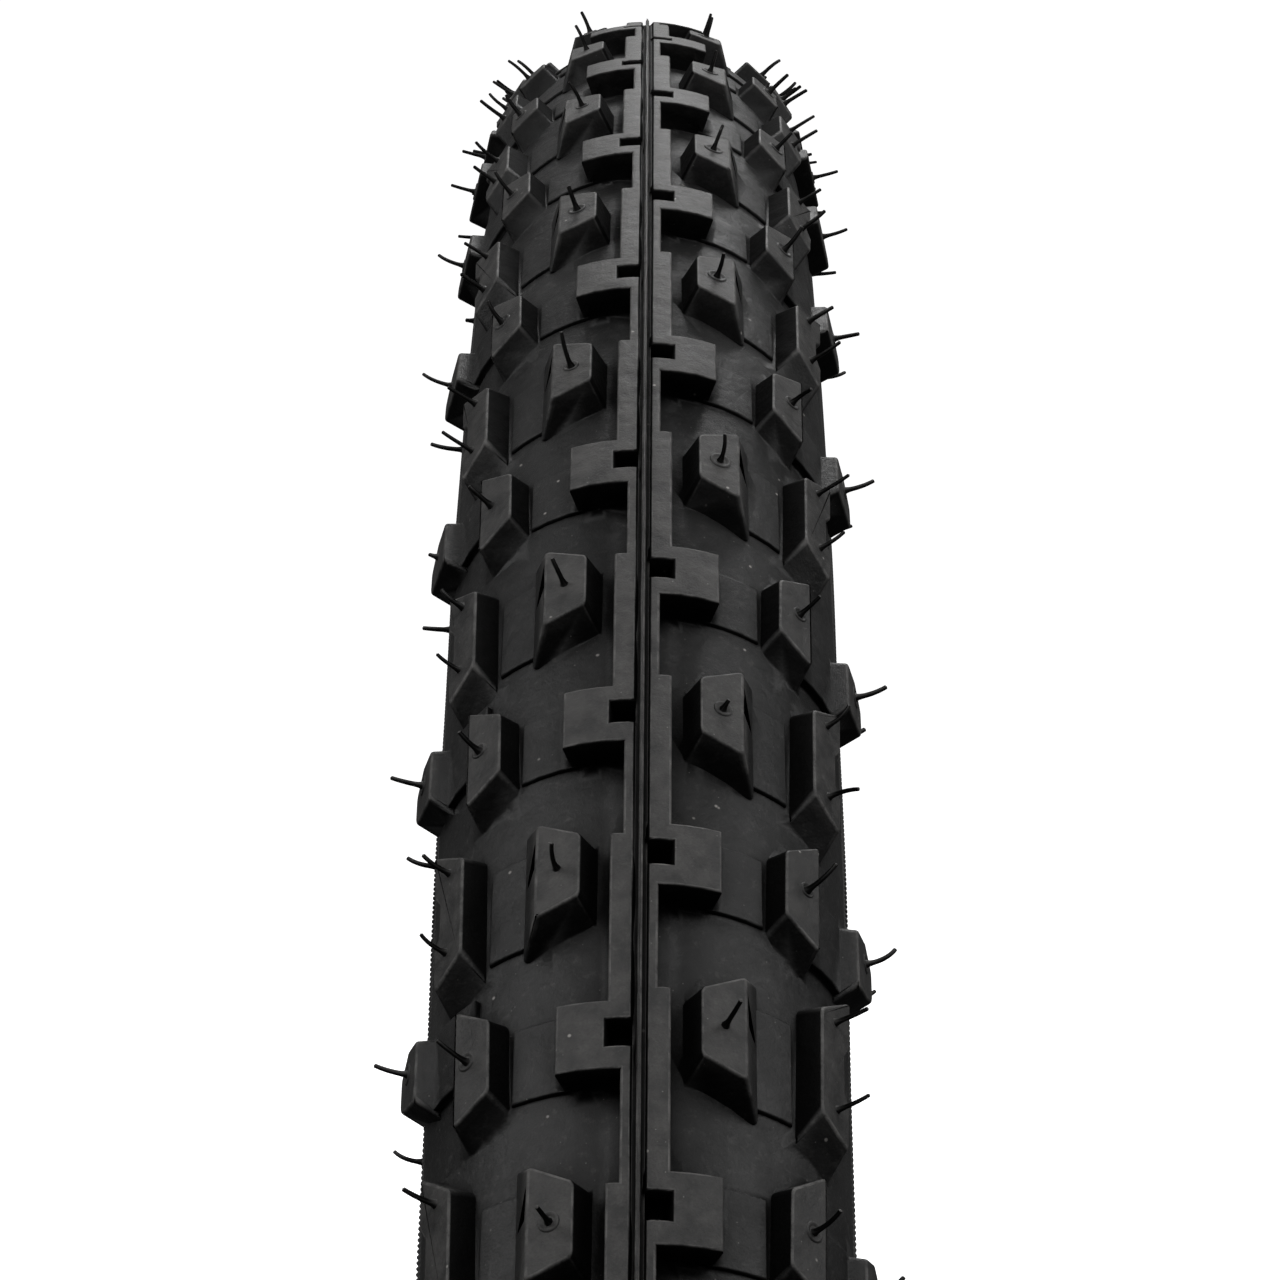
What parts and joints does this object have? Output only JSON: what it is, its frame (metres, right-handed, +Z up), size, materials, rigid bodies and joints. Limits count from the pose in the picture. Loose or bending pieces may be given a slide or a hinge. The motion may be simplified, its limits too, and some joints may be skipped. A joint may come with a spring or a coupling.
{
  "type": "bicycle tire",
  "caption": "Clincher mountain bicycle tire with a centre rail, side lugs, shoulder and side knobs, wire beads and moulding whiskers.",
  "frame": {"origin": "wheel centre, in the tire's mid plane", "axes": "+Y along the axle towards the rider's left side, +Z up, +X forward"},
  "size_m": [0.6678, 0.0506, 0.6678],
  "materials": {
    "tread_rubber": "moulded matte black tread rubber, slightly dusty",
    "sidewall_rubber": "thin matte black rubber with the casing cords showing through",
    "chafer_fabric": "rubberised monofilament chafer fabric",
    "aramid_fabric": "woven puncture belt fabric, rubber coated",
    "nylon_ply": "rubber-coated nylon cords laid on the bias",
    "filler_rubber": "hard bead filler rubber",
    "wrap_fabric": "rubberised wrapping tape",
    "bead_steel": "bronze-coated drawn steel wire"
  },
  "bodies": {
    "tire": {"bead_filler_left": "filler_rubber", "bead_filler_right": "filler_rubber", "bead_wires_left": "bead_steel", "bead_wires_right": "bead_steel", "bead_wrap_left": "wrap_fabric", "bead_wrap_right": "wrap_fabric", "casing_ply_inner": "nylon_ply", "casing_ply_outer": "nylon_ply", "puncture_belt": "aramid_fabric", "rim_chafer_left": "chafer_fabric", "rim_chafer_right": "chafer_fabric", "sidewall_rubber_left": "sidewall_rubber", "sidewall_rubber_right": "sidewall_rubber", "tread": "tread_rubber", "vent_whiskers_long_shoulder_left": "tread_rubber", "vent_whiskers_long_shoulder_right": "tread_rubber", "vent_whiskers_mid_left": "tread_rubber", "vent_whiskers_mid_right": "tread_rubber", "vent_whiskers_short_shoulder_left": "tread_rubber", "vent_whiskers_short_shoulder_right": "tread_rubber", "vent_whiskers_side_left": "tread_rubber", "vent_whiskers_side_right": "tread_rubber", "vent_whiskers_sidewall_left": "tread_rubber", "vent_whiskers_sidewall_right": "tread_rubber"}
  },
  "joints": []
}
